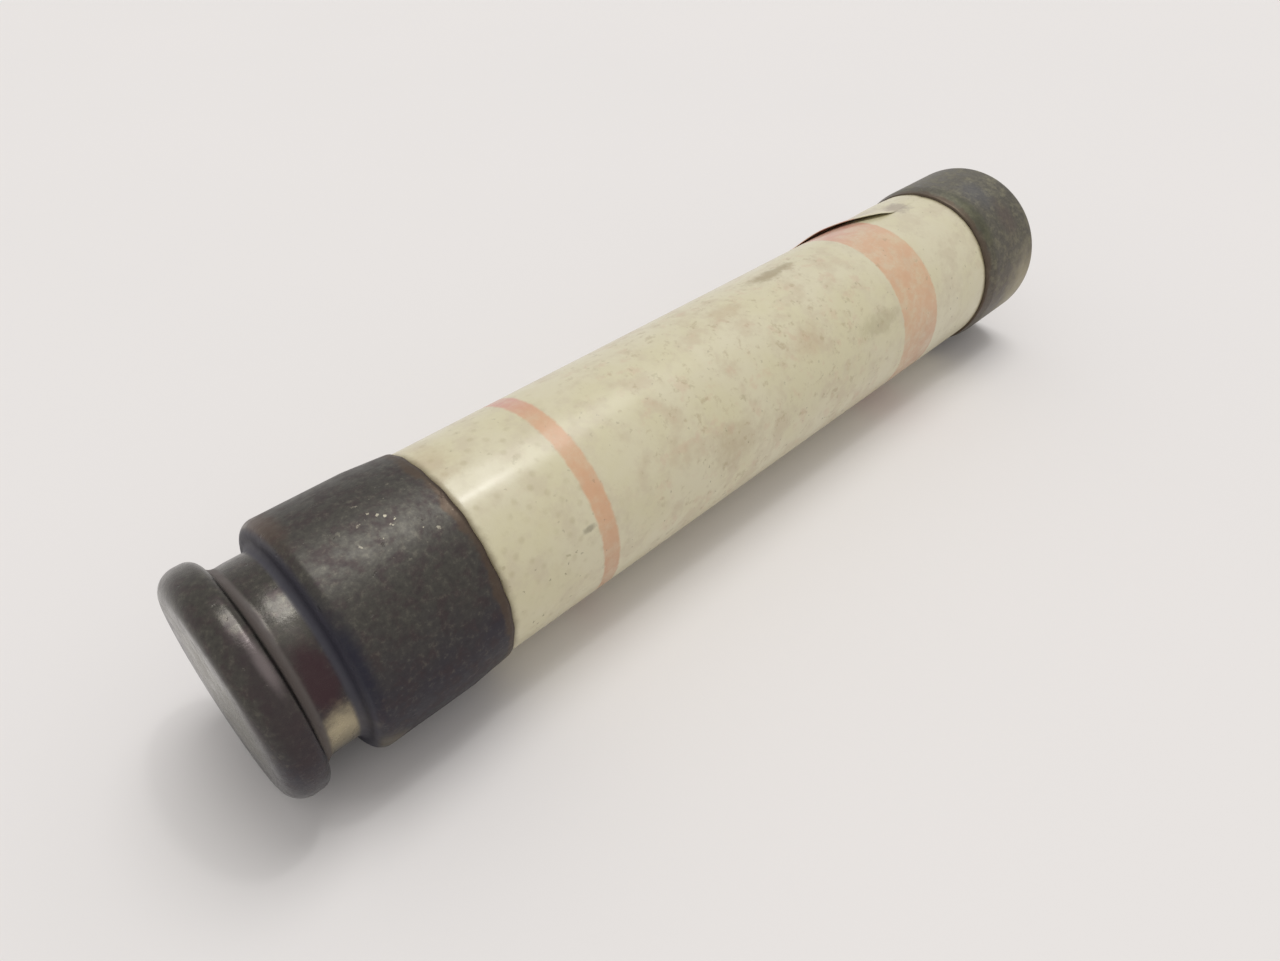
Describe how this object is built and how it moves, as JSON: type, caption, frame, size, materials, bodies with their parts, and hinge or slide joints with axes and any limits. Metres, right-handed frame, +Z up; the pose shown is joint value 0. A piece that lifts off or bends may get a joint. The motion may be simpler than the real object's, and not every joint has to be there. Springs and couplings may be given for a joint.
{
  "type": "cartridge fuse",
  "caption": "Time-delay cartridge fuse: a labelled fibre tube between two brass ferrules, one of them grooved, with sand-packed links and a spring-loaded overload trigger inside.",
  "frame": {"origin": "on the fuse's axis, halfway between the two end faces", "axes": "+X along the fuse, from the grooved rejection ferrule towards the plain ferrule; +Z up as the fuse lies on its side"},
  "size_m": [0.1396, 0.027, 0.027],
  "materials": {
    "tarnished_brass": "drawn brass, tarnished dark brown and grey, satin",
    "clean_brass": "turned brass, satin",
    "link_copper": "copper, cold rolled, satin",
    "solder": "tin-based solder and low-melting alloy, dull silver",
    "spring_steel": "drawn spring wire",
    "tube_fibre": "wound fibre tube, varnished",
    "board_fibre": "vulcanised fibre board",
    "label_paper": "varnished cream paper with faded orange bands, stained",
    "quartz_sand": "packed quartz sand"
  },
  "bodies": {
    "fuse_body": {"rejection_ferrule": "tarnished_brass", "plain_ferrule": "tarnished_brass", "tube": "tube_fibre", "label": "label_paper", "rejection_end_washer": "clean_brass", "plain_end_washer": "clean_brass", "rejection_terminal_solder": "solder", "plain_terminal_solder": "solder", "rejection_fibre_disc": "board_fibre", "plain_fibre_disc": "board_fibre", "rejection_barrier_disc": "board_fibre", "plain_barrier_disc": "board_fibre", "rejection_side_link": "link_copper", "plain_side_link": "link_copper", "rejection_side_sand": "quartz_sand", "plain_side_sand": "quartz_sand", "trigger_sleeve": "board_fibre", "heat_absorber": "link_copper", "absorber_solder": "solder", "fusing_alloy": "solder", "spring_seat_washer": "clean_brass", "trigger_spring": "spring_steel", "plunger_guide": "clean_brass", "guide_solder": "solder"},
    "trigger": {"trigger_plunger": "clean_brass"}
  },
  "joints": [
    {"name": "trigger_travel", "type": "slide", "parent": "fuse_body", "child": "trigger", "axis": [1, 0, 0], "range_m": [0, 0.005], "deforming": ["trigger_spring"]}
  ]
}
